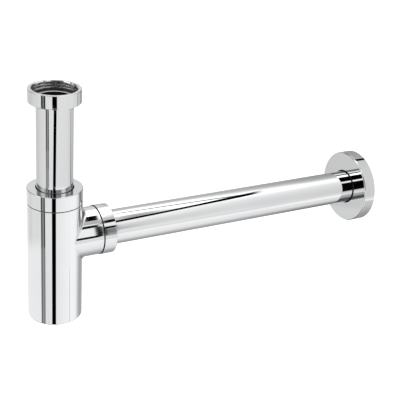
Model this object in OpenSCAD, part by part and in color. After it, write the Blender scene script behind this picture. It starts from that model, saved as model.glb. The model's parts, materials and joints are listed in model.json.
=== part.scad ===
// Chromed bottle trap: a dip tube in a bottle, with a telescopic outlet tube and a wall flange.
// The origin is on the inlet axis, at the start of the inlet nut's thread, just over its washer.
// +Z runs up the inlet axis and +X runs along the outlet tube towards the wall. Millimetres.

/* [Tubes] */
// Outer diameter of the inlet and outlet tubes
tube_od = 32; // [31.6:0.1:32.4]
// Wall thickness of both tubes
tube_wall = 1; // [0.8:0.1:1.4]
// Length of the inlet tube, from the washer to its dip end in the bottle
inlet_tube_length = 195; // [160:1:200]
// Length of the outlet tube
outlet_tube_length = 310; // [305:1:400]
// Distance from the bottle's axis to the outlet tube's inner end
outlet_tube_start = 30; // [27:1:34]
// Outer diameter of the outlet tube's swaged end, which enters the wall pipe
swage_od = 31.6; // [31:0.1:31.6]
// Length of the swaged end
swage_length = 10; // [8:1:10]

/* [Compression nuts] */
// Outer diameter of the inlet and outlet nuts
nut_od = 45.5; // [45:0.1:48]
// Height of the inlet and outlet nuts
nut_height = 12; // [12:0.5:14]
// Thickness of the turned-in web at the end of each nut
nut_web = 2; // [1.6:0.1:2.4]
// Crest diameter of the inlet nut's thread, a G 1 1/4 pipe thread
thread_minor_d = 38.952; // [38.7:0.01:39.2]
// Root diameter of the inlet nut's thread
thread_major_d = 41.91; // [41.7:0.01:42.1]
// Pitch of the inlet and outlet threads
thread_pitch = 2.309; // [2:0.001:2.309]

/* [Bottle] */
// Drop from the washer to the outlet axis
outlet_drop = 132.2; // [125:0.1:140]
// Outer diameter of the bottle
body_od = 48.6; // [48:0.1:49]
// Wall thickness of the bottle
body_wall = 1.7; // [1.4:0.1:1.9]
// Depth of the bottle below the outlet axis
body_below_outlet = 76.6; // [76:0.1:90]
// Outer diameter of the cap nut
cap_od = 49.1; // [49.1:0.1:50]
// Height of the cap nut
cap_height = 13.5; // [13.5:0.1:15]
// Height of the cap nut's lower edge above the outlet axis
cap_above_outlet = 35.2; // [33:0.1:38]
// Thickness of the cap nut's top
cap_web = 2.5; // [2:0.1:2.6]
// Crest diameter of the bottle's neck thread
neck_thread_d = 44; // [43.8:0.1:44.2]
// Pitch of the neck thread
neck_pitch = 1.5; // [1.2:0.1:1.5]

/* [Outlet branch] */
// Outer diameter of the branch on the bottle's side
branch_od = 44.4; // [44:0.1:45]
// Distance from the bottle's axis to the outlet nut
branch_reach = 39; // [38:0.1:42]

/* [Wall flange] */
// Outer diameter of the wall flange
flange_od = 71.2; // [60:0.1:80]
// Depth of the wall flange
flange_depth = 12.6; // [10:0.1:13]
// Distance from the bottle's axis to the flange's front face
flange_x = 317.1; // [300:0.1:317.1]
// Thickness of the flange's sheet
flange_sheet = 1.3; // [1:0.1:1.6]

/* [Hidden] */
$fn = 96;
chrome = "silver";
nylon = "ivory";
black_nylon = "#2a2c2e";
rubber = "#202224";

tube_r = tube_od / 2;
tube_bore_r = tube_r - tube_wall;
nut_r = nut_od / 2;
nut_base_z = -nut_height / 2;
nut_shelf_z = nut_base_z + nut_web;
edge = 0.5;               // chamfer on visible edges
slack = 0.8;              // gap at a seam between two bright pieces
running = 0.1;            // radial clearance of a nylon ring on the tube
grip = 0.05;              // radial clearance of a rubber seal on the tube
guide_r = tube_r + 0.4;   // bore that guides a tube in the bottle
collar_bore_r = tube_r + 0.8;   // bore in a nut's web around the tube

// Stack inside the inlet nut, from the web upwards
slip_lip = 0.8;           // thickness of the slip ring's flange
collar_height = 1.2;
washer_height = 1.9;
collar_base_z = nut_shelf_z + slip_lip;
washer_base_z = collar_base_z + collar_height;
washer_top_z = washer_base_z + washer_height;
slip_sleeve_r = tube_r + 1.05;
slip_lip_r = tube_r + 2.9;
inlet_thread_z = washer_top_z + 0.1;

// Bottle heights
outlet_z = -outlet_drop;
body_r = body_od / 2;
body_bore_r = body_r - body_wall;
body_base_z = outlet_z - body_below_outlet;
body_floor_z = body_base_z + body_wall;
cap_base_z = outlet_z + cap_above_outlet;
cap_top_z = cap_base_z + cap_height;
cap_shelf_z = cap_top_z - cap_web;
neck_r = neck_thread_d / 2;
neck_top_z = cap_base_z + 6.5;
neck_guide = 3.5;         // length of the guide bore under the neck's seat
shoulder_drop = 4;        // height of the cone from the guide bore to the bottle's wall

// Outlet side, as distances along +X
branch_r = branch_od / 2;
branch_bore_r = branch_r - 2;
stub_end_x = branch_reach + 6;
stub_r = thread_major_d / 2 - 0.155;
outlet_shelf_x = branch_reach + nut_height - nut_web;
ring_thickness = 1.5;
cap_seal_r = neck_r - 1.7;
outlet_seal_r = stub_r - 1.15;
neck_root_r = neck_r - 0.8;
stub_root_r = stub_r - 0.9;

// Wall flange
flange_r = flange_od / 2;
flange_back_x = flange_x + flange_depth;
hub_r = tube_r + 4;
hub_length = 8;
face_lip = 0.8;           // depth of the face's lip, in front of the ring's groove
o_ring_section = 2.4;
o_ring_r = tube_r + grip + o_ring_section / 2;
o_ring_x = flange_x + face_lip + 0.1 + o_ring_section / 2;

// A part turned about Z from an outline of [radius, height] points
module turned(outline) {
    rotate_extrude() polygon(outline);
}

// Children drawn about Z are laid along +X on the outlet axis
module on_outlet() {
    translate([0, 0, outlet_z]) rotate([0, 90, 0]) children();
}

// Thread wall as [radius, height] points: flat crests with V grooves between them
function thread_wall(crest_r, root_r, start, pitch, turns, crest = 0.5) = [
    for (i = [0 : turns], p = i < turns ?
        [[crest_r, 0], [crest_r, crest], [root_r, (pitch + crest) / 2]] :
        [[crest_r, 0], [crest_r, crest]])
        [p[0], start + i * pitch + p[1]]
];

function backwards(list) = [for (i = [len(list) - 1 : -1 : 0]) list[i]];

// Rubber seal with a 45 degree cone. Height 0 is the mouth of the seat that it sits in.
module cone_seal(outer_r, top) {
    lip = 0.3;
    tip_r = guide_r + 0.05;
    tip_z = lip - (outer_r - tip_r);
    turned([[tube_r + grip, tip_z], [tip_r, tip_z], [outer_r, lip], [outer_r, top],
            [tube_r + grip, top]]);
}

// Seat for that seal, cut down from height 0 and open above it
module cone_seat(outer_r) {
    mouth_r = outer_r - 0.05;
    seat_z = guide_r - mouth_r;
    turned([[0, seat_z - 1], [guide_r, seat_z - 1], [guide_r, seat_z], [mouth_r, 0],
            [mouth_r, 1], [0, 1]]);
}

// Flat nylon ring between a nut's web and its seal
module friction_ring(outer_r) {
    inner_r = tube_r + running;
    turned([[inner_r, 0], [outer_r, 0], [outer_r, ring_thickness], [inner_r, ring_thickness]]);
}

module inlet_nut() {
    crest_r = thread_minor_d / 2;
    root_r = thread_major_d / 2;
    thread = thread_wall(crest_r, root_r, inlet_thread_z, thread_pitch, 2);
    thread_end_z = inlet_thread_z + 2 * thread_pitch + 0.5;
    top_z = nut_base_z + nut_height;
    mouth_r = crest_r + min(top_z - thread_end_z, root_r - crest_r);
    color(chrome)
    turned(concat(
        [[slip_sleeve_r + running, nut_base_z], [nut_r - edge, nut_base_z],
         [nut_r, nut_base_z + edge], [nut_r, top_z - edge], [nut_r - edge, top_z],
         [mouth_r, top_z]],
        backwards(thread),
        [[root_r, inlet_thread_z], [root_r, nut_shelf_z],
         [slip_sleeve_r + running, nut_shelf_z]]));
}

module inlet_slip_ring() {
    inner_r = tube_r + running;
    color(nylon)
    turned([[inner_r, nut_base_z + 0.1], [slip_sleeve_r, nut_base_z + 0.1],
            [slip_sleeve_r, nut_shelf_z], [slip_lip_r, nut_shelf_z],
            [slip_lip_r, collar_base_z], [inner_r, collar_base_z]]);
}

module inlet_washer() {
    washer_r = thread_minor_d / 2 - 0.276;
    hole_r = tube_r + 0.8;
    color(rubber)
    turned([[hole_r, washer_base_z], [washer_r, washer_base_z],
            [washer_r, washer_top_z], [hole_r, washer_top_z]]);
}

// Dip tube with the brazed collar that the inlet nut pulls up against the washer
module inlet_tube() {
    dip_z = washer_base_z - inlet_tube_length;
    color(chrome)
    turned([[tube_bore_r, dip_z], [tube_r, dip_z], [tube_r, collar_base_z],
            [slip_lip_r, collar_base_z], [slip_lip_r, washer_base_z],
            [tube_bore_r, washer_base_z]]);
}

module cap_nut() {
    crest_r = neck_r + 0.1;
    root_r = crest_r + 0.8;
    thread_z = cap_base_z + 1;
    cap_r = cap_od / 2;
    pocket_z = neck_top_z + 1;
    pocket_r = cap_seal_r + 0.7;
    color(chrome)
    turned(concat(
        [[collar_bore_r, cap_shelf_z], [pocket_r, cap_shelf_z], [pocket_r, pocket_z],
         [crest_r, pocket_z]],
        backwards(thread_wall(crest_r, root_r, thread_z, neck_pitch, 3)),
        [[root_r, cap_base_z], [cap_r, cap_base_z], [cap_r, cap_top_z - edge],
         [cap_r - edge, cap_top_z], [collar_bore_r, cap_top_z]]));
}

module cap_friction_ring() {
    color(black_nylon)
    translate([0, 0, cap_shelf_z - ring_thickness]) friction_ring(cap_seal_r + 0.4);
}

module cap_seal() {
    color(rubber)
    translate([0, 0, neck_top_z])
    cone_seal(cap_seal_r, cap_shelf_z - ring_thickness - neck_top_z - 0.05);
}

module bottle_outside() {
    shoulder_z = cap_base_z - slack;
    turned(concat(
        [[0, body_base_z], [body_r - 1, body_base_z], [body_r, body_base_z + 1],
         [body_r, shoulder_z], [neck_root_r, shoulder_z], [neck_root_r, cap_base_z + 0.6]],
        thread_wall(neck_r, neck_root_r, cap_base_z + 1, neck_pitch, 3),
        [[neck_root_r, neck_top_z], [0, neck_top_z]]));
}

module bottle_inside() {
    guide_end_z = neck_top_z - (cap_seal_r - guide_r) - neck_guide;
    turned([[0, body_floor_z], [body_bore_r - 1, body_floor_z],
            [body_bore_r, body_floor_z + 1], [body_bore_r, guide_end_z - shoulder_drop],
            [guide_r, guide_end_z], [guide_r, neck_top_z - 1], [0, neck_top_z - 1]]);
}

module branch_outside() {
    shoulder_x = branch_reach - slack;
    turned(concat(
        [[0, 0], [branch_r, 0], [branch_r, shoulder_x], [stub_root_r, shoulder_x],
         [stub_root_r, branch_reach + 0.3]],
        thread_wall(stub_r, stub_root_r, branch_reach + 0.4, thread_pitch, 2, 0.4),
        [[stub_root_r, stub_end_x], [0, stub_end_x]]));
}

module branch_inside() {
    turned([[0, 0], [branch_bore_r, 0], [branch_bore_r, branch_reach - 7],
            [guide_r, branch_reach - 3], [guide_r, stub_end_x - 1], [0, stub_end_x - 1]]);
}

module bottle_body() {
    color(chrome)
    difference() {
        union() {
            bottle_outside();
            on_outlet() branch_outside();
        }
        bottle_inside();
        translate([0, 0, neck_top_z]) cone_seat(cap_seal_r);
        on_outlet() branch_inside();
        on_outlet() translate([0, 0, stub_end_x]) cone_seat(outlet_seal_r);
    }
}

module outlet_nut() {
    crest_r = stub_r + 0.15;
    root_r = crest_r + 0.7;
    end_x = branch_reach + nut_height;
    thread = thread_wall(crest_r, root_r, branch_reach + 1, thread_pitch, 2);
    color(chrome)
    on_outlet()
    turned(concat(
        [[collar_bore_r, end_x], [collar_bore_r, outlet_shelf_x], [crest_r, outlet_shelf_x]],
        backwards(thread),
        [[root_r, branch_reach], [nut_r - edge, branch_reach], [nut_r, branch_reach + edge],
         [nut_r, end_x - edge], [nut_r - edge, end_x]]));
}

module outlet_friction_ring() {
    color(black_nylon)
    on_outlet() translate([0, 0, outlet_shelf_x - ring_thickness]) friction_ring(stub_r - 0.1);
}

module outlet_seal() {
    color(rubber)
    on_outlet() translate([0, 0, stub_end_x])
    cone_seal(outlet_seal_r, outlet_shelf_x - ring_thickness - stub_end_x - 0.05);
}

module outlet_tube() {
    end_x = outlet_tube_start + outlet_tube_length;
    swage_x = end_x - swage_length;
    swage_r = swage_od / 2;
    color(chrome)
    on_outlet()
    turned([[tube_bore_r, outlet_tube_start], [tube_r, outlet_tube_start],
            [tube_r, swage_x - 0.2], [swage_r, swage_x], [swage_r, end_x],
            [swage_r - tube_wall, end_x], [swage_r - tube_wall, swage_x],
            [tube_bore_r, swage_x - 0.2]]);
}

// Cup-shaped flange with a central hub; a rubber ring in a groove behind its face grips the tube
module wall_flange() {
    round_off = 1;
    mouth_r = tube_r + 1.1;
    hub_bore_r = tube_r + 0.45;
    groove_r = o_ring_r + o_ring_section / 2 + 0.1;
    groove_x = flange_x + face_lip;
    groove_end_x = groove_x + o_ring_section + 0.2;
    hub_end_x = flange_x + hub_length;
    rim_bore_r = flange_r - flange_sheet;
    face_back_x = flange_x + flange_sheet;
    color(chrome)
    on_outlet()
    turned([[mouth_r, flange_x], [flange_r - round_off, flange_x],
            [flange_r, flange_x + round_off], [flange_r, flange_back_x],
            [rim_bore_r, flange_back_x], [rim_bore_r, face_back_x], [hub_r, face_back_x],
            [hub_r, hub_end_x], [hub_bore_r, hub_end_x], [hub_bore_r, groove_end_x],
            [groove_r, groove_end_x], [groove_r, groove_x], [mouth_r, groove_x]]);
}

module flange_o_ring() {
    color(rubber)
    on_outlet() translate([0, 0, o_ring_x])
    rotate_extrude() translate([o_ring_r, 0]) circle(d = o_ring_section, $fn = 24);
}

inlet_nut();
inlet_slip_ring();
inlet_washer();
inlet_tube();
cap_nut();
cap_friction_ring();
cap_seal();
bottle_body();
outlet_nut();
outlet_friction_ring();
outlet_seal();
outlet_tube();
wall_flange();
flange_o_ring();
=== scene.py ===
"""Looks of a chromed bottle trap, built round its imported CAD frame. Metres, +Z up."""
import json
import math

import bpy
from mathutils import Matrix, Vector


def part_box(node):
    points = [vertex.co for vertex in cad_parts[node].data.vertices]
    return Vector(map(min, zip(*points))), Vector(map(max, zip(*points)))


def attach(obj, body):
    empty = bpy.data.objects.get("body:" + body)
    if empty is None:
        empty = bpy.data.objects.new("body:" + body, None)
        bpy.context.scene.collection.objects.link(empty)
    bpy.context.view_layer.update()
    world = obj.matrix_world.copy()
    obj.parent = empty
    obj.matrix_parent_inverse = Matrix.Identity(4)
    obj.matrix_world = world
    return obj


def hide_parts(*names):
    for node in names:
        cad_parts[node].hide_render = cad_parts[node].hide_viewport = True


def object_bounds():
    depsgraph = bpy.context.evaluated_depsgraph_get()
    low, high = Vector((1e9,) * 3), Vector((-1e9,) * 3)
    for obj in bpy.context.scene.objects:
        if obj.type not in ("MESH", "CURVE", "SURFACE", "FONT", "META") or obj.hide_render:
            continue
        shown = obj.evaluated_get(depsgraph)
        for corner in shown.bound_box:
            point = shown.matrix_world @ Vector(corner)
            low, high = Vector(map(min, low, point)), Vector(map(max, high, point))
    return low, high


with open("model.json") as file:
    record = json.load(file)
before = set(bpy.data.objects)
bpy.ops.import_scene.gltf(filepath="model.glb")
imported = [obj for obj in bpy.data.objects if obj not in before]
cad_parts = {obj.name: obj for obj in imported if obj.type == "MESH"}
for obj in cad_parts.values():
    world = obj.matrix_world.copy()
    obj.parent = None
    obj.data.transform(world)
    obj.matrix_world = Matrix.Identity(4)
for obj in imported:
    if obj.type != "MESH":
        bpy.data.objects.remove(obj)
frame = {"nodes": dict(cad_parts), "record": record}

MM = 0.001
cad_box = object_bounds()

# ---------------------------------------------------------------- places taken from the frame


def span(node):
    """Lowest and highest corner of a CAD node."""
    low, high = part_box(node)
    return Vector(low), Vector(high)


MOUNTS = {m["name"]: m for m in frame["record"]["mounts"]}
OUTLET_Z = MOUNTS["outlet_spigot"]["pos_m"][2]
SPIGOT_R = MOUNTS["outlet_spigot"]["dims"]["r_mm"] * MM
SPIGOT_LENGTH = MOUNTS["outlet_spigot"]["dims"]["length_mm"] * MM
INLET_CREST_R = MOUNTS["waste_thread"]["dims"]["r_mm"] * MM
G_PITCH = 2.309 * MM
NECK_PITCH = 1.5 * MM
TUBE_R = span("outlet_tube")[1].y
TUBE_WALL = 1.0 * MM
BORE_R = TUBE_R - TUBE_WALL
GUIDE_R = TUBE_R + 0.4 * MM
WEB_BORE_R = TUBE_R + 0.8 * MM
SEGMENTS = 192

# ---------------------------------------------------------------- mesh building


class Shell:
    """A mesh made of grids of points with exact normals, welded into one closed surface."""

    def __init__(self):
        self.points = []
        self.index = {}
        self.faces = []
        self.corner_normals = []
        self.face_materials = []

    def vertex(self, p):
        key = (round(p.x * 1e7), round(p.y * 1e7), round(p.z * 1e7))
        if key not in self.index:
            self.index[key] = len(self.points)
            self.points.append(p)
        return self.index[key]

    def face(self, corners, material):
        """Adds one face from (point, normal) corners, wound to agree with its normals."""
        ids, normals = [], []
        for p, n in corners:
            i = self.vertex(p)
            if i not in ids:
                ids.append(i)
                normals.append(n)
        if len(ids) < 3:
            return
        a, b, c = (self.points[i] for i in (ids[0], ids[1], ids[-1]))
        facing = (b - a).cross(c - a)
        if len(ids) == 4:
            facing += (self.points[ids[2]] - b).cross(self.points[ids[3]] - b)
        if facing.dot(sum(normals, Vector())) < 0:
            ids.reverse()
            normals.reverse()
        self.faces.append(ids)
        self.corner_normals.extend(normals)
        self.face_materials.append(material)

    def grid(self, rows, closed=True, material=0):
        """rows is a list of rows of (point, normal); closed joins each row's end to its start."""
        for low, high in zip(rows, rows[1:]):
            count = len(low)
            for j in range(count if closed else count - 1):
                k = (j + 1) % count
                self.face((low[j], low[k], high[k], high[j]), material)

    def make(self, name, body, materials, nodes):
        mesh = bpy.data.meshes.new(name)
        mesh.from_pydata(self.points, [], self.faces)
        for m in materials:
            mesh.materials.append(m)
        mesh.polygons.foreach_set("material_index", self.face_materials)
        mesh.polygons.foreach_set("use_smooth", [True] * len(self.faces))
        mesh.update()
        mesh.normals_split_custom_set([n.normalized() for n in self.corner_normals])
        piece = bpy.data.objects.new(name, mesh)
        bpy.context.scene.collection.objects.link(piece)
        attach(piece, body)
        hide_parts(*nodes)
        return piece


def upright(r, angle, h):
    """Point at radius r, angle and height h about the inlet axis."""
    return Vector((r * math.cos(angle), r * math.sin(angle), h))


def lying(r, angle, h):
    """The same about the outlet axis, with h running along +X."""
    return Vector((h, r * math.sin(angle), r * math.cos(angle) + OUTLET_Z))


def direction(place, nr, angle, nh):
    return place(nr, angle, nh) - place(0, angle, 0)


def even_angles(count=SEGMENTS):
    return [2 * math.pi * i / count for i in range(count)]


def rounded(outline, closed=True, steps=5):
    """Turns (radius, height, rounding) corners into pieces ((r, h), normal, (r, h), normal)."""
    count = len(outline)
    ends = []
    for i, (r, h, rounding) in enumerate(outline):
        here = Vector((r, h))
        before = Vector(outline[i - 1][:2])
        after = Vector(outline[(i + 1) % count][:2])
        open_end = not closed and i in (0, count - 1)
        if rounding <= 0 or open_end:
            ends.append([(here, None)])
            continue
        come, go = (here - before).normalized(), (after - here).normalized()
        turn = come.x * go.y - come.y * go.x
        half = math.acos(max(-1.0, min(1.0, come.dot(go)))) / 2
        reach = rounding * math.tan(half)
        side = 1 if turn > 0 else -1
        centre = here - come * reach + Vector((-come.y, come.x)) * side * rounding
        start = here - come * reach - centre
        arc = []
        for k in range(steps + 1):
            a = 2 * half * side * k / steps
            spoke = Vector((start.x * math.cos(a) - start.y * math.sin(a),
                            start.x * math.sin(a) + start.y * math.cos(a)))
            arc.append((centre + spoke, spoke.normalized() * side))
        ends.append(arc)
    pieces = []
    for i in range(count):
        for (p, n), (q, m) in zip(ends[i], ends[i][1:]):
            pieces.append((p, n, q, m))
        if i == count - 1 and not closed:
            break
        p, q = ends[i][-1][0], ends[(i + 1) % count][0][0]
        if (q - p).length > 1e-8:
            along = (q - p).normalized()
            normal = Vector((along.y, -along.x))
            pieces.append((p, normal, q, normal))
    return pieces


def lathe(shell, outline, place, angles, closed=True, material=0, paint=None):
    """Turns an outline, listed with the solid on its left, about an axis."""
    for p, n, q, m in rounded(outline, closed):
        which = paint(p, q) if paint else material
        rows = [[(place(p.x, a, p.y), direction(place, n.x, a, n.y)) for a in angles],
                [(place(q.x, a, q.y), direction(place, m.x, a, m.y)) for a in angles]]
        shell.grid(rows, material=which)


def thread(shell, crest_r, root_r, start, end, pitch, place, angles, material=0):
    """Helical V thread. Its grooves run from crest_r to root_r and fade out at both ends."""
    rows_per_pitch = 16
    count = max(8, round(abs(end - start) / pitch * rows_per_pitch))
    low, high = min(start, end), max(start, end)
    outward = 1 if crest_r > root_r else -1

    def radius(angle, h):
        s = (h / pitch - angle / (2 * math.pi)) % 1.0
        groove = max(0.0, min(1.0, 1.25 - 2.5 * abs(s - 0.5)))
        groove = groove * groove * (3 - 2 * groove)
        fade = min(1.0, (h - low) / (0.35 * pitch), (high - h) / (0.35 * pitch))
        return crest_r + (root_r - crest_r) * groove * max(0.0, fade)

    def point(angle, h):
        return place(radius(angle, h), angle, h)

    rows = []
    for i in range(count + 1):
        h = start + (end - start) * i / count
        row = []
        for a in angles:
            up = point(a, min(high, h + 1e-5)) - point(a, max(low, h - 1e-5))
            round_ = point(a + 1e-3, h) - point(a - 1e-3, h)
            normal = up.cross(round_).normalized()
            spoke = direction(place, outward, a, 0)
            row.append((point(a, h), normal if normal.dot(spoke) > 0 else -normal))
        rows.append(row)
    shell.grid(rows, material=material)


# ---------------------------------------------------------------- materials


class Nodes:
    """Short calls for building a node tree."""

    def __init__(self, tree):
        self.tree = tree
        tree.nodes.clear()

    def add(self, kind, inputs=None, **settings):
        node = self.tree.nodes.new(kind)
        for key, value in settings.items():
            setattr(node, key, value)
        for key, value in (inputs or {}).items():
            self.put(node.inputs[key], value)
        return node

    def put(self, socket, value):
        if isinstance(value, bpy.types.NodeSocket):
            self.tree.links.new(value, socket)
        else:
            socket.default_value = value

    def math(self, operation, *values):
        node = self.add("ShaderNodeMath", operation=operation)
        for socket, value in zip(node.inputs, values):
            self.put(socket, value)
        return node.outputs[0]

    def remap(self, value, a, b, c, d, smooth=False):
        node = self.add("ShaderNodeMapRange", clamp=True)
        node.interpolation_type = "SMOOTHSTEP" if smooth else "LINEAR"
        for socket, v in zip(node.inputs, (value, a, b, c, d)):
            self.put(socket, v)
        return node.outputs[0]

    def ramp(self, value, stops, between="LINEAR"):
        node = self.add("ShaderNodeValToRGB", {"Fac": value})
        node.color_ramp.interpolation = between
        elements = node.color_ramp.elements
        while len(elements) < len(stops):
            elements.new(1.0)
        for element, (place, colour) in zip(elements, stops):
            element.position = place
            element.color = (*colour, 1) if len(colour) == 3 else colour
        return node.outputs["Color"]

    def noise(self, vector, scale, detail=2.0, rough=0.5):
        return self.add("ShaderNodeTexNoise", {"Vector": vector, "Scale": scale,
                                               "Detail": detail, "Roughness": rough}).outputs[0]

    def scaled(self, vector, x, y, z):
        return self.add("ShaderNodeMapping", {"Vector": vector, "Scale": (x, y, z)}).outputs[0]


def surface(name):
    """A new material: its nodes, its object coordinates and its shader."""
    material = bpy.data.materials.new(name)
    material.use_nodes = True
    nodes = Nodes(material.node_tree)
    out = nodes.add("ShaderNodeOutputMaterial")
    shader = nodes.add("ShaderNodeBsdfPrincipled")
    material.node_tree.links.new(shader.outputs[0], out.inputs["Surface"])
    where = nodes.add("ShaderNodeTexCoord").outputs["Object"]
    return material, nodes, where, shader


def chrome(name, along, shade_scale=1.0, dull=0.0):
    """Bright chrome plate: faint tone drift, wipe marks, dried water spots and polishing lines."""
    material, n, where, shader = surface(name)
    drift = n.noise(where, 14, 3)
    # A scale below 1 darkens the plate's whole tone: painted shade.
    tone = n.ramp(drift, [(0.3, (0.865 * shade_scale, 0.872 * shade_scale, 0.885 * shade_scale)),
                          (0.7, (0.905 * shade_scale, 0.908 * shade_scale, 0.912 * shade_scale))])
    wipes = n.noise(n.scaled(where, *[60 if axis == along else 22 for axis in "xyz"]), 1, 4, 0.6)
    spots = n.add("ShaderNodeTexVoronoi", {"Vector": where, "Scale": 210}).outputs["Distance"]
    ring = n.remap(n.math("ABSOLUTE", n.math("SUBTRACT", spots, 0.2)), 0.0, 0.05, 1.0, 0.0, True)
    few = n.remap(n.noise(where, 37, 2), 0.56, 0.66, 0.0, 1.0, True)
    spot = n.math("MULTIPLY", ring, few)
    rough = n.math("ADD", n.remap(wipes, 0.35, 0.75, 0.012 + dull, 0.035 + dull),
                   n.math("MULTIPLY", spot, 0.05))
    lines = n.noise(n.scaled(where, *[9000 if axis == along else 90 for axis in "xyz"]), 1, 2)
    waves = n.noise(where, 30, 1)
    height = n.math("ADD", n.math("MULTIPLY", lines, 0.03), n.math("MULTIPLY", waves, 1.0))
    bump = n.add("ShaderNodeBump", {"Height": height, "Strength": 0.15, "Distance": 0.00004})
    n.put(shader.inputs["Base Color"], tone)
    n.put(shader.inputs["Metallic"], 1.0)
    n.put(shader.inputs["Roughness"], rough)
    n.put(shader.inputs["Normal"], bump.outputs[0])
    return material


def bore_painted_shade(name):
    """Unplated inside of a tube: dull metal painted near-black as shade, with drawing marks and
    stains.
    """
    material, n, where, shader = surface(name)
    stain = n.noise(where, 55, 5, 0.65)
    # Near-black tone: painted shade in bores, gaps and seams; the noise between the two stops is
    # stains.
    tone = n.ramp(stain, [(0.3, (0.02, 0.019, 0.018)), (0.62, (0.075, 0.072, 0.068))])
    n.put(shader.inputs["Base Color"], tone)
    n.put(shader.inputs["Metallic"], 0.9)
    n.put(shader.inputs["Roughness"], n.remap(stain, 0.3, 0.7, 0.32, 0.55))
    bump = n.add("ShaderNodeBump", {"Height": n.noise(where, 900, 3), "Strength": 0.3,
                                    "Distance": 0.00005})
    n.put(shader.inputs["Normal"], bump.outputs[0])
    return material


def satin(name):
    """Satin face of the brazed collar: pale metal with turning rings and a little tarnish."""
    material, n, where, shader = surface(name)
    tarnish = n.noise(where, 80, 4, 0.6)
    tone = n.ramp(tarnish, [(0.35, (0.70, 0.70, 0.69)), (0.7, (0.86, 0.86, 0.85))])
    n.put(shader.inputs["Base Color"], tone)
    n.put(shader.inputs["Metallic"], 0.25)
    n.put(shader.inputs["Roughness"], n.remap(tarnish, 0.3, 0.7, 0.35, 0.5))
    bump = n.add("ShaderNodeBump", {"Height": n.noise(where, 700, 2), "Strength": 0.15,
                                    "Distance": 0.00004})
    n.put(shader.inputs["Normal"], bump.outputs[0])
    return material


def rubber(name):
    """Black EPDM: fine grain, a dusty bloom and slightly glossy wear."""
    material, n, where, shader = surface(name)
    bloom = n.noise(where, 120, 4, 0.6)
    tone = n.ramp(bloom, [(0.35, (0.012, 0.012, 0.013)), (0.75, (0.045, 0.045, 0.046))])
    n.put(shader.inputs["Base Color"], tone)
    n.put(shader.inputs["Roughness"], n.remap(bloom, 0.3, 0.7, 0.42, 0.68))
    bump = n.add("ShaderNodeBump", {"Height": n.noise(where, 2500, 3), "Strength": 0.35,
                                    "Distance": 0.00006})
    n.put(shader.inputs["Normal"], bump.outputs[0])
    return material


def plastic(name, light, shade, glow):
    """Moulded nylon: cloudy tone, flow marks and a soft sheen."""
    material, n, where, shader = surface(name)
    cloud = n.noise(where, 90, 4, 0.55)
    n.put(shader.inputs["Base Color"], n.ramp(cloud, [(0.3, shade), (0.7, light)]))
    n.put(shader.inputs["Roughness"], n.remap(cloud, 0.3, 0.7, 0.34, 0.5))
    n.put(shader.inputs["Subsurface Weight"], glow)
    n.put(shader.inputs["Subsurface Radius"], (0.001, 0.0009, 0.0007))
    bump = n.add("ShaderNodeBump", {"Height": n.noise(n.scaled(where, 300, 300, 1500), 1, 3),
                                    "Strength": 0.3, "Distance": 0.00004})
    n.put(shader.inputs["Normal"], bump.outputs[0])
    return material


CHROME_Z = chrome("chrome_upright", "z")
CHROME_X = chrome("chrome_lying", "x")
# Thread chrome is the same plate 5% darker: painted shade in the thread recesses.
SHADED_THREAD_CHROME = chrome("chrome_thread_shaded", "z", shade_scale=0.95, dull=0.01)
SATIN = satin("satin_face")
# Near-black bore material: painted shade for bores, gaps and seam faces.
BORE = bore_painted_shade("bore_painted_shade")
RUBBER = rubber("epdm_rubber")
NYLON = plastic("natural_nylon", (0.86, 0.84, 0.76), (0.74, 0.72, 0.63), 0.25)
BLACK_NYLON = plastic("black_nylon", (0.03, 0.03, 0.032), (0.012, 0.012, 0.013), 0.0)
METAL = 0                 # material indices of the chrome pieces
# INSIDE faces (bores, web bores, gaps and seam faces) take the near-black painted-shade material;
# in the inlet nut this slot is the thread chrome.
INSIDE = 1
DETAIL = 2                # threads, and the collar's face

# ---------------------------------------------------------------- inlet side


def inlet_nut():
    low, high = span("inlet_nut")
    r = high.y
    shelf = low.z + 2.0 * MM
    root_r = 20.955 * MM
    thread_low, thread_high = span("inlet_washer")[1].z + 0.1 * MM, high.z - 0.5 * MM
    sleeve_bore = TUBE_R + 1.15 * MM
    angles = even_angles()
    shell = Shell()
    lathe(shell, [(INLET_CREST_R, thread_high, 0), (INLET_CREST_R + 0.5 * MM, high.z, 0.1 * MM),
                  (r, high.z, 0.45 * MM), (r, low.z, 0.7 * MM), (sleeve_bore, low.z, 0.2 * MM),
                  (sleeve_bore, shelf, 0.1 * MM), (root_r, shelf, 0.2 * MM),
                  (root_r, thread_low - 0.4 * MM, 0.05 * MM), (INLET_CREST_R, thread_low, 0)][::-1],
          upright, angles, closed=False)
    thread(shell, INLET_CREST_R, root_r, thread_low, thread_high, G_PITCH, upright, angles,
           INSIDE)
    return shell.make("inlet_nut_chrome", "inlet_nut", [CHROME_Z, SHADED_THREAD_CHROME],
                      ["inlet_nut"])


def inlet_tube():
    low, high = span("inlet_tube")
    collar_r = high.y
    collar_low = high.z - 1.2 * MM
    angles = even_angles()
    shell = Shell()
    lathe(shell, [(BORE_R, low.z, 0.35 * MM), (TUBE_R, low.z, 0.35 * MM),
                  (TUBE_R, collar_low, 0.25 * MM), (collar_r, collar_low, 0.2 * MM),
                  (collar_r, high.z, 0.2 * MM), (BORE_R, high.z, 0.3 * MM)],
          upright, angles,
          paint=lambda p, q: INSIDE if max(p.x, q.x) < BORE_R + 1e-6
          else DETAIL if min(p.y, q.y) > high.z - 0.31 * MM else METAL)
    return shell.make("inlet_tube_chrome", "inlet_pipe", [CHROME_Z, BORE, SATIN],
                      ["inlet_tube"])


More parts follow.
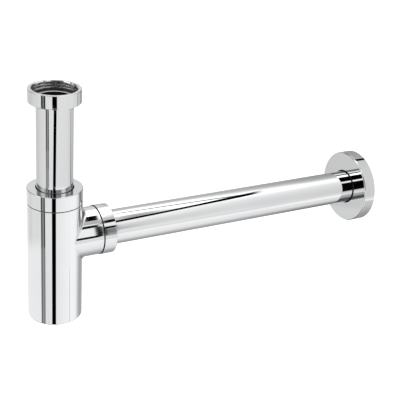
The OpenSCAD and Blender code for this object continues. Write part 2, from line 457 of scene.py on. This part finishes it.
def cap_nut():
    low, high = span("cap_nut")
    r = high.y - 0.01 * MM
    shelf = high.z - 2.5 * MM
    crest_r, root_r = 22.1 * MM, 22.9 * MM
    pocket_r = 21.0 * MM
    pocket_low = low.z + 7.5 * MM
    thread_low, thread_high = low.z + 0.8 * MM, pocket_low - 0.6 * MM
    angles = even_angles()
    shell = Shell()
    # The web bore's wall, the gap round the tube, takes the near-black material: painted shade in
    # the gap.
    lathe(shell, [(crest_r, thread_low, 0), (crest_r + 0.6 * MM, low.z, 0.1 * MM),
                  (r, low.z, 0.15 * MM), (r, high.z, 0.5 * MM), (WEB_BORE_R, high.z, 0.2 * MM),
                  (WEB_BORE_R, shelf, 0.2 * MM), (pocket_r, shelf, 0.3 * MM),
                  (pocket_r, pocket_low, 0.1 * MM), (crest_r, pocket_low, 0.1 * MM),
                  (crest_r, thread_high, 0)], upright, angles, closed=False,
          paint=lambda p, q: METAL if min(p.x, q.x) > WEB_BORE_R + 0.01 * MM else INSIDE)
    thread(shell, crest_r, root_r, thread_low, thread_high, NECK_PITCH, upright, angles, DETAIL)
    return shell.make("cap_nut_chrome", "cap_nut", [CHROME_Z, BORE, SHADED_THREAD_CHROME],
                      ["cap_nut"])


# ---------------------------------------------------------------- bottle with its branch


def branch_joint(body_r, branch_r, ball_r, angle):
    """Rolling-ball blend of an X cylinder into a Z cylinder: ball centre and both contacts."""
    reach = branch_r + ball_r
    y, z = reach * math.sin(angle), reach * math.cos(angle)
    x = math.sqrt((body_r + ball_r) ** 2 - y * y)
    centre = Vector((x, y, z))
    on_branch = Vector((x, branch_r * math.sin(angle), branch_r * math.cos(angle)))
    share = body_r / (body_r + ball_r)
    on_body = Vector((x * share, y * share, z))
    return centre, on_branch, on_body


def pierced_wall(shell, body_r, branch_r, ball_r, low, high, end_x, across, inward, material):
    """Bottle wall from low to high with the branch's hole, its blend and its wall to end_x."""
    down = 32                     # points down each side of the wall's seam
    count = 2 * (across + down)
    side = -1 if inward else 1
    lift = Vector((0, 0, OUTLET_Z))
    outer = []                    # the wall's edge, unrolled to (angle, height)
    for i in range(across // 2):
        outer.append((2 * math.pi * i / across, high))
    for i in range(down):
        outer.append((math.pi, high + (low - high) * i / down))
    for i in range(across):
        outer.append((math.pi - 2 * math.pi * i / across, low))
    for i in range(down):
        outer.append((-math.pi, low + (high - low) * i / down))
    for i in range(across // 2):
        outer.append((-math.pi + 2 * math.pi * i / across, high))
    angles = [2 * math.pi * i / count for i in range(count)]
    joints = [branch_joint(body_r, branch_r, ball_r, a) for a in angles]
    rings = 44
    rows = []
    for k in range(rings + 1):
        t = k / rings
        row = []
        for (turn, height), (_, _, contact) in zip(outer, joints):
            start_turn = math.atan2(contact.y, contact.x)
            start_height = contact.z + OUTLET_Z
            a = start_turn + (turn - start_turn) * t
            h = start_height + (height - start_height) * t
            row.append((upright(body_r, a, h), direction(upright, side, a, 0)))
        rows.append(row)
    shell.grid(rows, material=material)
    steps = 10 if ball_r > 0 else 0
    if steps:
        rows = []
        for k in range(steps + 1):
            t = k / steps
            row = []
            for centre, on_branch, on_body in joints:
                spoke = (on_body - centre).normalized().slerp((on_branch - centre).normalized(), t)
                row.append((centre + spoke * ball_r + lift, -spoke))
            rows.append(row)
        shell.grid(rows, material=material)
    near = [(j[1] + lift, direction(lying, side, a, 0)) for j, a in zip(joints, angles)]
    far = [(lying(branch_r, a, end_x), direction(lying, side, a, 0)) for a in angles]
    shell.grid([near, far], material=material)
    return angles


def bottle():
    low, high = span("bottle_body")
    cap_low = span("cap_nut")[0].z
    nut_low = span("outlet_nut")[0].x
    body_r = high.y
    wall = 1.7 * MM
    body_bore = body_r - wall
    branch_r, branch_bore = 22.2 * MM, 20.2 * MM
    neck_r, neck_root = 22.0 * MM, 21.2 * MM
    stub_r, stub_root = 20.8 * MM, 19.9 * MM
    seam = 0.8 * MM
    seat_r = span("cap_seal")[1].y - 0.05 * MM
    outlet_seat_r = span("outlet_seal")[1].y - 0.05 * MM
    blend_r = 3.6 * MM
    across = 160
    wall_low, wall_high = OUTLET_Z - 31 * MM, OUTLET_Z + 30 * MM
    wall_end, bore_end = nut_low - 1.5 * MM, nut_low - 7 * MM
    body_angles = even_angles(across)
    shell = Shell()

    branch_angles = pierced_wall(shell, body_r, branch_r, blend_r, wall_low, wall_high,
                                 wall_end, across, False, METAL)
    pierced_wall(shell, body_bore, branch_bore, 0, wall_low, wall_high, bore_end,
                 across, True, INSIDE)

    # below the branch: outer wall, rounded base and floor, inside wall
    base_z, base_r = low.z + 0.35 * MM, body_r - 4.6 * MM      # recessed inside the foot ring
    foot_r = body_r - 4 * MM
    lathe(shell, [(0, base_z, 0), (base_r, base_z, 0.3 * MM),
                  (foot_r, low.z, 0.3 * MM), (body_r, low.z, 1.0 * MM),
                  (body_r, wall_low, 0)], upright, body_angles, closed=False)
    lathe(shell, [(body_bore, wall_low, 0), (body_bore, low.z + wall, 2 * MM),
                  (0, low.z + wall, 0)], upright, body_angles, closed=False,
          material=INSIDE)

    # above the branch: shoulder, threaded neck, seat for the cone seal, guide bore, inside wall
    shoulder = cap_low - seam
    thread_low, thread_high = cap_low + 0.7 * MM, high.z - 0.5 * MM
    # The shoulder under the cap nut, the seam's floor, takes the near-black material: painted shade
    # in the seam.
    lathe(shell, [(body_r, wall_high, 0), (body_r, shoulder, 0.15 * MM),
                  (neck_root, shoulder, 0.15 * MM), (neck_root, thread_low - 0.4 * MM, 0),
                  (neck_r, thread_low, 0)], upright, body_angles, closed=False,
          paint=lambda p, q: METAL if min(p.x, q.x) > body_r - 0.3 * MM else INSIDE)
    thread(shell, neck_r, neck_root, thread_low, thread_high, NECK_PITCH, upright,
           body_angles, DETAIL)
    seat_low = high.z - (seat_r - GUIDE_R)
    guide_low = seat_low - 3.5 * MM
    lathe(shell, [(neck_r, thread_high, 0), (neck_r - 0.5 * MM, high.z, 0.1 * MM),
                  (seat_r, high.z, 0.15 * MM), (GUIDE_R, seat_low, 0.1 * MM),
                  (GUIDE_R, guide_low, 0.4 * MM), (body_bore, guide_low - 4 * MM, 1 * MM),
                  (body_bore, wall_high, 0)], upright, body_angles, closed=False,
          paint=lambda p, q: INSIDE if min(p.y, q.y) < seat_low + 1e-6 else METAL)

    # the branch's end: shoulder, threaded stub, seat, guide bore, inside wall
    stub_end = high.x
    shoulder = nut_low - seam
    thread_low, thread_high = nut_low + 0.6 * MM, stub_end - 0.5 * MM
    # The shoulder under the outlet nut, the seam's floor, takes the near-black material: painted
    # shade in the seam.
    lathe(shell, [(branch_r, wall_end, 0), (branch_r, shoulder, 0.2 * MM),
                  (stub_root, shoulder, 0.15 * MM), (stub_root, thread_low - 0.4 * MM, 0),
                  (stub_r, thread_low, 0)], lying, branch_angles, closed=False,
          paint=lambda p, q: METAL if min(p.x, q.x) > branch_r - 0.3 * MM else INSIDE)
    thread(shell, stub_r, stub_root, thread_low, thread_high, G_PITCH, lying,
           branch_angles, DETAIL)
    seat_in = stub_end - (outlet_seat_r - GUIDE_R)
    lathe(shell, [(stub_r, thread_high, 0), (stub_r - 0.5 * MM, stub_end, 0.1 * MM),
                  (outlet_seat_r, stub_end, 0.15 * MM), (GUIDE_R, seat_in, 0.1 * MM),
                  (GUIDE_R, nut_low - 3 * MM, 0.3 * MM), (branch_bore, bore_end, 0)],
          lying, branch_angles, closed=False,
          paint=lambda p, q: INSIDE if min(p.y, q.y) < seat_in + 1e-6 else METAL)
    return shell.make("bottle_chrome", "bottle", [CHROME_Z, BORE, SHADED_THREAD_CHROME],
                      ["bottle_body"])


# ---------------------------------------------------------------- outlet side


def outlet_nut():
    low, high = span("outlet_nut")
    r = high.y
    shelf = high.x - 2 * MM
    crest_r, root_r = 20.95 * MM, 21.65 * MM
    thread_low, thread_high = low.x + 0.9 * MM, low.x + 6.2 * MM
    angles = even_angles()
    shell = Shell()
    # The nut's face toward the bottle's shoulder takes the near-black material: painted shade in
    # the seam.
    lathe(shell, [(crest_r, thread_low, 0), (crest_r + 0.6 * MM, low.x, 0.1 * MM),
                  (r, low.x, 0.15 * MM), (r, high.x, 0.7 * MM),
                  (WEB_BORE_R, high.x, 0.35 * MM), (WEB_BORE_R, shelf, 0.2 * MM),
                  (crest_r, shelf, 0.3 * MM), (crest_r, thread_high, 0)],
          lying, angles, closed=False,
          paint=lambda p, q: INSIDE if max(p.y, q.y) < low.x + 0.11 * MM else METAL)
    thread(shell, crest_r, root_r, thread_low, thread_high, G_PITCH, lying, angles, DETAIL)
    return shell.make("outlet_nut_chrome", "outlet_nut",
                      [CHROME_X, BORE, SHADED_THREAD_CHROME], ["outlet_nut"])


def outlet_tube():
    low, high = span("outlet_tube")
    step = high.x - SPIGOT_LENGTH
    inner_spigot = SPIGOT_R - TUBE_WALL
    angles = even_angles()
    shell = Shell()
    lathe(shell, [(BORE_R, step - 0.2 * MM, 0.1 * MM), (BORE_R, low.x, 0.35 * MM),
                  (TUBE_R, low.x, 0.35 * MM), (TUBE_R, step - 0.2 * MM, 0.1 * MM),
                  (SPIGOT_R, step, 0.1 * MM), (SPIGOT_R, high.x, 0.35 * MM),
                  (inner_spigot, high.x, 0.35 * MM), (inner_spigot, step, 0.1 * MM)][::-1],
          lying, angles,
          paint=lambda p, q: INSIDE if max(p.x, q.x) < BORE_R + 1e-6 else METAL)
    return shell.make("outlet_tube_chrome", "outlet_pipe", [CHROME_X, BORE],
                      ["outlet_tube"])


def wall_flange():
    low, high = span("wall_flange")
    r = high.y
    sheet = 1.3 * MM
    hub_r, hub_end = TUBE_R + 4 * MM, low.x + 8 * MM
    mouth_r, hub_bore = TUBE_R + 1.1 * MM, TUBE_R + 0.45 * MM
    ring_low, ring_high = span("flange_o_ring")
    groove_r = ring_high.y + 0.1 * MM
    groove_low, groove_high = ring_low.x - 0.1 * MM, ring_high.x + 0.1 * MM
    angles = even_angles(224)
    shell = Shell()
    # The mouth's bore and the O-ring groove, the gap round the tube, take the near-black material:
    # painted shade in the gap.
    lathe(shell, [(mouth_r, low.x, 0.2 * MM), (r, low.x, 1.1 * MM), (r, high.x, 0.3 * MM),
                  (r - sheet, high.x, 0.3 * MM), (r - sheet, low.x + sheet, 0.6 * MM),
                  (hub_r, low.x + sheet, 0.8 * MM), (hub_r, hub_end, 0.4 * MM),
                  (hub_bore, hub_end, 0.3 * MM), (hub_bore, groove_high, 0.2 * MM),
                  (groove_r, groove_high, 0.2 * MM), (groove_r, groove_low, 0.2 * MM),
                  (mouth_r, groove_low, 0.2 * MM)], lying, angles,
          paint=lambda p, q: METAL if max(p.x, q.x) > groove_r + 0.3 * MM or
          min(p.x, q.x) < mouth_r - 0.01 * MM else INSIDE)
    return shell.make("wall_flange_chrome", "wall_flange", [CHROME_X, BORE],
                      ["wall_flange"])


inlet_nut()
inlet_tube()
cap_nut()
bottle()
outlet_nut()
outlet_tube()
wall_flange()

# ---------------------------------------------------------------- CAD nodes that stay as they are

KEPT = {"inlet_slip_ring": NYLON, "inlet_washer": RUBBER, "cap_friction_ring": BLACK_NYLON,
        "cap_seal": RUBBER, "outlet_friction_ring": BLACK_NYLON, "outlet_seal": RUBBER,
        "flange_o_ring": RUBBER}
for node, material in KEPT.items():
    slots = frame["nodes"][node].material_slots
    for s in slots:
        s.material = material

# ---------------------------------------------------------------- floor, light and camera


def floor():
    """Pale floor, far enough down to clear the bottle when it slides down its dip tube."""
    low = cad_box[0]
    drop = 0.06
    size = 8.0
    bpy.ops.mesh.primitive_plane_add(size=size, location=(0, 0, low.z - drop))
    plane = bpy.context.object
    plane.name = "floor"
    material, n, where, shader = surface("pale_floor")
    mottle = n.noise(where, 6, 3)
    n.put(shader.inputs["Base Color"], n.ramp(mottle, [(0.3, (0.93,) * 3), (0.7, (0.95,) * 3)]))
    n.put(shader.inputs["Roughness"], 0.85)
    n.put(shader.inputs["Emission Color"], (1, 1, 1, 1))
    n.put(shader.inputs["Emission Strength"], 0.3)
    plane.data.materials.append(material)
    plane.visible_glossy = False


DISPLAY_GAMMA = 2.2
CHROME_REFLECTS = 0.885


def light(tone):
    """Linear strength that chrome plate shows as this display tone (1 is white)."""
    return tone ** DISPLAY_GAMMA / CHROME_REFLECTS


def studio():
    """Plain white for camera and diffuse rays, and a painted room for mirrored rays.

    The room's tones and flags were fitted by direction to the photograph's reflections, so this
    is not plain soft studio light. It is an open failure.
    """
    world = bpy.data.worlds.new("studio")
    bpy.context.scene.world = world
    world.use_nodes = True
    n = Nodes(world.node_tree)
    ray = n.add("ShaderNodeTexCoord").outputs["Generated"]
    x, y, z = n.add("ShaderNodeSeparateXYZ", {"Vector": ray}).outputs

    def degrees(radians):
        return n.math("MULTIPLY", radians, 180 / math.pi)

    def step(value, low, high):
        """0 below low, 1 above high."""
        return n.remap(value, low, high, 0.0, 1.0, True)

    def between(value, low, high, soft):
        return n.math("MULTIPLY", step(value, low - soft, low + soft),
                      n.math("SUBTRACT", 1.0, step(value, high - soft, high + soft)))

    def tones(value, low, high, stops):
        """Strength read off (value, display tone) stops."""
        colour = n.ramp(n.remap(value, low, high, 0, 1),
                        [((at - low) / (high - low), (light(tone) / 2,) * 3)
                         for at, tone in stops], "B_SPLINE")
        grey = n.add("ShaderNodeSeparateColor", {"Color": colour}).outputs[0]
        return n.math("MULTIPLY", grey, 2.0)

    def blend(a, b, share):
        return n.add("ShaderNodeMix", {0: share, 2: a, 3: b}).outputs[0]

    rise = degrees(n.math("ARCSINE", z))               # above the horizon
    turn = degrees(n.math("ARCTAN2", y, x))            # round Z, 0 along +X
    # round the outlet axis: 0 behind, 90 overhead, 180 in front, 270 below
    roll = n.math("ADD", degrees(n.math("ARCTAN2", n.math("MULTIPLY", y, -1), z)), 90)

    tent = [tones(roll, -90, 270, stops) for stops in (
        [(-90, 0.72), (-74, 0.60), (-58, 0.54), (-42, 0.74), (-26, 0.81), (-10, 0.72),
         (6, 0.685), (22, 0.707), (30, 0.737), (38, 0.823), (46, 1.0), (54, 1.25), (84, 1.3),
         (100, 1.08), (114, 1.0), (128, 0.96), (142, 0.91), (150, 0.83), (160, 0.80),
         (174, 0.80), (182, 0.826), (190, 0.89), (206, 0.94), (230, 0.915), (246, 0.89),
         (254, 0.846), (262, 0.80), (270, 0.72)],
        [(-90, 0.70), (-74, 0.62), (-58, 0.54), (-42, 0.66), (-26, 0.80), (-10, 0.725),
         (6, 0.677), (22, 0.667), (38, 0.70), (46, 0.765), (54, 0.82), (62, 0.92), (70, 1.05),
         (78, 1.2), (100, 1.15), (110, 0.99), (118, 0.94), (126, 0.906), (134, 0.882),
         (150, 0.851), (166, 0.835), (182, 0.847), (206, 0.91), (238, 0.902), (254, 0.84),
         (262, 0.785), (270, 0.71)],
        [(-90, 0.58), (-74, 0.51), (-58, 0.47), (-42, 0.50), (-26, 0.58), (-10, 0.576),
         (6, 0.571), (22, 0.60), (46, 0.62), (62, 0.70), (70, 0.76), (78, 0.88), (86, 1.03),
         (96, 1.03), (110, 0.953), (118, 0.902), (134, 0.855), (150, 0.83), (166, 0.808),
         (206, 0.80), (214, 0.84), (222, 0.875), (246, 0.85), (254, 0.804), (262, 0.745),
         (270, 0.62)])]
    level = blend(tent[0], tent[1], n.remap(x, 0.39, 0.49, 0, 1))
    level = blend(level, tent[2], n.remap(x, 0.49, 0.56, 0, 1))

    # The table: its far edge shows in the inlet parts, its near half in the bottle
    far_table = tones(turn, -180, 180, [
        (-180, 0.83), (-146, 0.865), (-100, 0.855), (-34, 0.85), (-18, 0.83), (-2, 0.79),
        (14, 0.76), (22, 0.74), (30, 0.70), (38, 0.66), (46, 0.67), (54, 0.71), (62, 0.76),
        (70, 0.85), (82, 0.86), (94, 0.79), (102, 0.775), (118, 0.765), (134, 0.77),
        (142, 0.80), (158, 0.82), (180, 0.83)])
    near_table = tones(turn, -180, 180, [
        (-180, 0.84), (-144, 0.875), (-126, 0.875), (-102, 0.90), (-82, 0.91), (-50, 0.95),
        (-18, 0.955), (-10, 0.92), (-2, 0.82), (6, 0.71), (14, 0.63), (30, 0.63), (38, 0.66),
        (54, 0.72), (62, 0.76), (70, 0.86), (78, 0.93), (86, 0.92), (94, 0.87), (110, 0.86),
        (120, 0.81), (138, 0.80), (146, 0.85), (180, 0.84)])
    table = blend(near_table, far_table, step(rise, -23.85, -23.65))
    level = blend(level, table, between(rise, -37, -13, 3))
    # Paler stretch of the table, behind on the left
    left = n.math("MAXIMUM", step(turn, 80, 96), step(turn, -169, -172))
    level = blend(level, light(0.91), n.math("MULTIPLY", between(rise, -37, -27, 0.5), left))

    # Plainer wall that shows in the flange's rim, faint over the table
    end_wall = tones(roll, -90, 270, [
        (-90, 0.60), (-40, 0.55), (0, 0.58), (40, 0.62), (62, 0.66), (74, 0.78), (120, 0.80),
        (180, 0.79), (225, 0.77), (250, 0.68), (270, 0.60)])
    over = between(rise, -28.5, -17.5, 0.5)
    faint = n.math("MULTIPLY", over, n.remap(turn, -10, 10, 0.2, 0.0, True))
    share = n.math("ADD", n.math("MULTIPLY", between(x, 0.588, 0.613, 0.014), faint),
                   n.math("MULTIPLY", between(x, 0.587, 0.614, 0.003),
                          n.math("SUBTRACT", 1.0, over)))
    level = blend(level, end_wall, share)

    # Dim walls above the horizon, either side of the panels
    gap = n.math("MAXIMUM", between(turn, -68, -41, 3), between(turn, 40, 110, 5))
    dim = n.math("MULTIPLY", between(rise, 3, 29, 2.5), n.math("SUBTRACT", 1.0, gap))
    level = n.math("MULTIPLY", level, n.math("SUBTRACT", 1.0, n.math("MULTIPLY", dim, 0.68)))

    # Paler patches
    for (x0, x1, xs), (r0, r1, rs), tone in (((0.28, 0.366, 0.004), (13, 36, 4), 0.82),
                                             ((0.32, 0.3565, 0.001), (142, 180, 2), 0.93)):
        patch = n.math("MULTIPLY", between(x, x0, x1, xs), between(roll, r0, r1, rs))
        level = blend(level, light(tone), patch)

    # Slit between the two overhead panels, with a fainter one beside it
    along = n.math("SUBTRACT", x, 0.375)
    bend = n.math("ADD", n.math("MULTIPLY", along, 150),
                  n.math("MULTIPLY", n.math("MULTIPLY", along, along), 900))
    off_slit = n.math("ABSOLUTE", n.math("SUBTRACT", n.math("ADD", roll, bend), 123.5))
    off_slit = n.math("SUBTRACT", off_slit, n.remap(x, 0.45, 0.495, 0, 3.5))
    shade = n.math("MULTIPLY", n.remap(off_slit, 5.6, 8.2, 1.0, 0.0, True),
                   between(x, 0.362, 0.512, 0.008))
    off_line = n.math("ABSOLUTE", n.math("SUBTRACT", roll,
                                         n.remap(x, 0.38, 0.50, 64.5, 86)))
    line = n.math("MULTIPLY", n.remap(off_line, 3.0, 5.5, 0.85, 0.0, True),
                  between(x, 0.375, 0.50, 0.01))
    shade = n.math("MAXIMUM", shade, line)

    # Flags: (low x, high x, soft), (low roll, high roll, soft), darkness
    for (x0, x1, xs), (r0, r1, rs), dark in (
            ((0.37, 0.425, 0.025), (90, 119, 4), 0.66),
            ((0.347, 0.361, 0.002), (83, 109, 2), 1.0),
            ((0.340, 0.364, 0.003), (107, 126, 3), 0.55),
            ((0.330, 0.3605, 0.002), (130.5, 142, 1.5), 1.0),
            ((0.330, 0.3605, 0.002), (180, 190, 1.5), 1.0),
            ((0.3565, 0.3635, 0.001), (140, 188, 3), 1.0),
            ((0.3645, 0.3772, 0.001), (120.5, 128.5, 1.5), 1.0),
            ((0.3645, 0.3772, 0.001), (102, 121, 2), 0.5),
            ((0.3645, 0.3772, 0.001), (147, 156.5, 1.5), 1.0),
            ((0.3645, 0.3772, 0.001), (156, 190, 5), 0.55),
            ((0.3645, 0.3675, 0.0007), (150, 188, 3), 0.97),
            ((0.584, 0.7, 0.002), (62, 71, 1.2), 1.0),
            ((-0.64, -0.55, 0.01), (131, 192, 2), 1.0),
            ((-0.64, -0.55, 0.01), (192, 197, 2), 0.5),
            ((-0.64, -0.55, 0.01), (223, 252, 2), 0.5),
            ((-0.66, -0.52, 0.01), (254, 271, 2), 0.9),
            ((-0.66, -0.52, 0.02), (80, 119, 2), 1.0),
            ((-0.66, -0.52, 0.02), (50, 63, 2), 0.97)):
        flag = n.math("MULTIPLY", between(x, x0, x1, xs), between(roll, r0, r1, rs))
        shade = n.math("MAXIMUM", shade, n.math("MULTIPLY", flag, dark))

    # Black ceiling left of the panels, with two chinks of light
    ceiling = n.math("MULTIPLY", between(x, -0.5, 0.1, 0.08), step(z, 0.47, 0.5))
    chinks = n.math("MAXIMUM", between(roll, 78, 88, 1), between(roll, 112, 122, 1))
    ceiling = n.math("MULTIPLY", ceiling, n.math("SUBTRACT", 1.0, chinks))
    shade = n.math("MAXIMUM", shade, n.math("MULTIPLY", ceiling, 0.98))

    # Dark floor under the inlet parts
    below = n.math("MULTIPLY", between(x, -0.95, 0.1, 0.08), step(z, -0.70, -0.74))
    shade = n.math("MAXIMUM", shade, n.math("MULTIPLY", below, 0.75))

    # Flags stood on the table: (low turn, high turn, soft), (low rise, high rise), darkness
    lean = n.math("ADD", turn, n.math("MULTIPLY", n.math("ADD", rise, 21.2), -1.2))
    for angle, (t0, t1, ts), (e0, e1), dark in (
            (turn, (-121.0, -101.0, 0.6), (-19.17, -10), 1.0),
            (lean, (-119.0, -101.6, 0.6), (-23.75, -19.17), 1.0),
            (turn, (-122.6, -106.1, 0.6), (-50, -23.75), 1.0),
            (turn, (-170.0, -149.3, 1.0), (-19.17, -10), 0.70),
            (turn, (-168.6, -162.0, 0.7), (-19.17, -10), 1.0),
            (turn, (-156.9, -150.9, 0.7), (-19.17, -10), 1.0),
            (turn, (20, 44, 5), (-19.17, -10), 0.28),
            (turn, (-167.0, -146.5, 1.2), (-23.75, -19.17), 0.58),
            (turn, (-164.0, -157.6, 0.7), (-21.6, -19.17), 0.92),
            (turn, (-152.2, -146.2, 0.7), (-21.6, -19.17), 0.96),
            (turn, (-164.0, -157.6, 0.7), (-22.7, -21.6), 0.78),
            (turn, (-152.2, -146.2, 0.7), (-22.7, -21.6), 0.80),
            (turn, (-164.0, -157.6, 0.7), (-23.75, -22.7), 0.68),
            (turn, (-152.2, -146.2, 0.7), (-23.75, -22.7), 0.66),
            (turn, (-170.0, -150.9, 1.0), (-27.3, -23.75), 0.64),
            (turn, (-168.4, -162.6, 0.7), (-27.3, -23.75), 0.93),
            (turn, (-156.8, -151.4, 0.7), (-27.3, -23.75), 0.97),
            (turn, (-170.0, -150.9, 1.0), (-50, -27.3), 0.60),
            (turn, (-168.4, -162.6, 0.7), (-50, -27.3), 0.82),
            (turn, (-156.8, -151.4, 0.7), (-50, -27.3), 0.76),
            (turn, (-121.0, -103.4, 0.7), (15, 29), 1.0),
            (turn, (-163.3, -158.3, 0.7), (15, 29), 0.95),
            (turn, (-151.6, -146.8, 0.7), (15, 29), 0.95)):
        flag = n.math("MULTIPLY", between(angle, t0, t1, ts), between(rise, e0, e1, 0.03))
        shade = n.math("MAXIMUM", shade, n.math("MULTIPLY", flag, dark))
    level = n.math("MULTIPLY", level, n.math("SUBTRACT", 1.0, shade))

    tent_light = n.add("ShaderNodeBackground", {"Color": level, "Strength": 1.0})
    backdrop = n.add("ShaderNodeBackground", {"Color": (1, 1, 1, 1), "Strength": 1.1})
    mirrored = n.add("ShaderNodeLightPath").outputs["Is Glossy Ray"]
    mix = n.add("ShaderNodeMixShader", {0: mirrored, 1: backdrop.outputs[0],
                                        2: tent_light.outputs[0]})
    out = n.add("ShaderNodeOutputWorld")
    n.put(out.inputs["Surface"], mix.outputs[0])


def camera():
    """Camera at the photograph's viewing angle: in front, to the left and above.

    Its lens, angles and place were fitted to the photograph's outline.
    """
    data = bpy.data.cameras.new("camera")
    data.sensor_width = 36                             # mm, and so is lens
    data.lens = 87.11
    yaw, pitch, roll = 0.526, 0.422, 0.066             # radians
    eye_x, eye_y, eye_above_outlet = -0.2759, -0.7271, 0.3895
    forward = Vector((math.sin(yaw) * math.cos(pitch), math.cos(yaw) * math.cos(pitch),
                      -math.sin(pitch)))
    level_right = Vector((math.cos(yaw), -math.sin(yaw), 0))
    level_up = level_right.cross(forward)
    right = level_right * math.cos(roll) + level_up * math.sin(roll)
    up = level_up * math.cos(roll) - level_right * math.sin(roll)
    eye = bpy.data.objects.new("camera", data)
    place = Matrix((right, up, -forward)).transposed().to_4x4()
    place.translation = Vector((eye_x, eye_y, eye_above_outlet + OUTLET_Z))
    eye.matrix_world = place
    bpy.context.scene.collection.objects.link(eye)
    bpy.context.scene.camera = eye


floor()
studio()
camera()
bpy.context.scene.view_settings.view_transform = "Standard"
